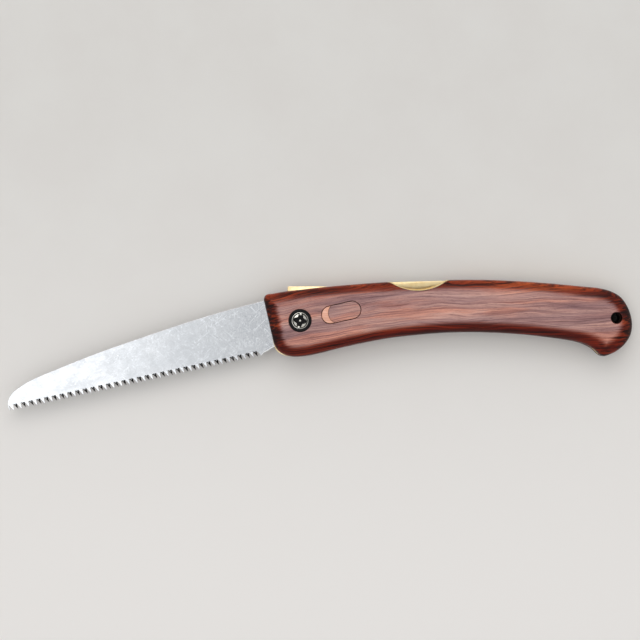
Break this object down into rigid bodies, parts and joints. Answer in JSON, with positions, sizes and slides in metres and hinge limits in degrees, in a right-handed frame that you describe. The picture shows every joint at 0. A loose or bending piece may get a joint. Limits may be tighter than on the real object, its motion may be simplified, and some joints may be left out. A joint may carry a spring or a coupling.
{
  "type": "folding pruning saw",
  "caption": "Folding pruning saw with a curved wooden handle on brass liners, a rocker lock bar and a tapered toothed blade that folds into the handle.",
  "frame": {"origin": "on the flat outer face of the back scale, the face the saw rests on, in the middle of the grip; the blade pivot axis is at x -75 mm, y -7 mm", "axes": "+X from the blade towards the tail of the handle, +Y towards the spine of the handle, +Z out of the front scale"},
  "size_m": [0.3148, 0.0662, 0.0176],
  "materials": {
    "rosewood": "oiled and polished, dark red-brown with near-black streaks",
    "pale_wood": "oiled, pale reddish",
    "brass": "brushed",
    "satin_steel": "satin, lightly scratched",
    "dark_steel": "plain ground",
    "bright_nickel": "bright nickel plate",
    "black_oxide": "black oxide",
    "bronze": "plain turned bronze"
  },
  "bodies": {
    "handle": {"front_scale": "rosewood", "back_scale": "rosewood", "oval_inlay": "rosewood", "oval_inlay_end": "pale_wood", "front_liner": "brass", "back_liner": "brass", "back_spacer": "brass", "spacer_pin_1": "brass", "spacer_pin_2": "brass", "spacer_pin_3": "brass", "lock_bar_pin": "dark_steel", "stop_pin": "dark_steel", "lock_spring": "dark_steel", "front_scale_screw_1": "dark_steel", "front_scale_screw_2": "dark_steel", "front_scale_screw_3": "dark_steel", "back_scale_screw_1": "dark_steel", "back_scale_screw_2": "dark_steel", "back_scale_screw_3": "dark_steel", "pivot_bolt": "bright_nickel", "pivot_nut": "bright_nickel", "pivot_bushing": "bright_nickel", "front_pivot_ring": "black_oxide", "back_pivot_ring": "black_oxide", "front_pivot_washer": "bronze", "back_pivot_washer": "bronze"},
    "blade": {"blade": "satin_steel"},
    "lock_bar": {"lock_bar": "brass"}
  },
  "joints": [
    {"name": "blade_pivot", "type": "hinge", "parent": "handle", "child": "blade", "pos_m": [-0.075, -0.007, 0.0088], "axis": [0, 0, 1], "range_deg": [0, 167]},
    {"name": "lock_release", "type": "hinge", "parent": "handle", "child": "lock_bar", "pos_m": [-0.042, 0.0088, 0.0088], "axis": [0, 0, -1], "range_deg": [0, 3], "stiffness_Nm_per_rad": 4, "springref_deg": -2.86, "deforming": ["lock_spring"]}
  ]
}
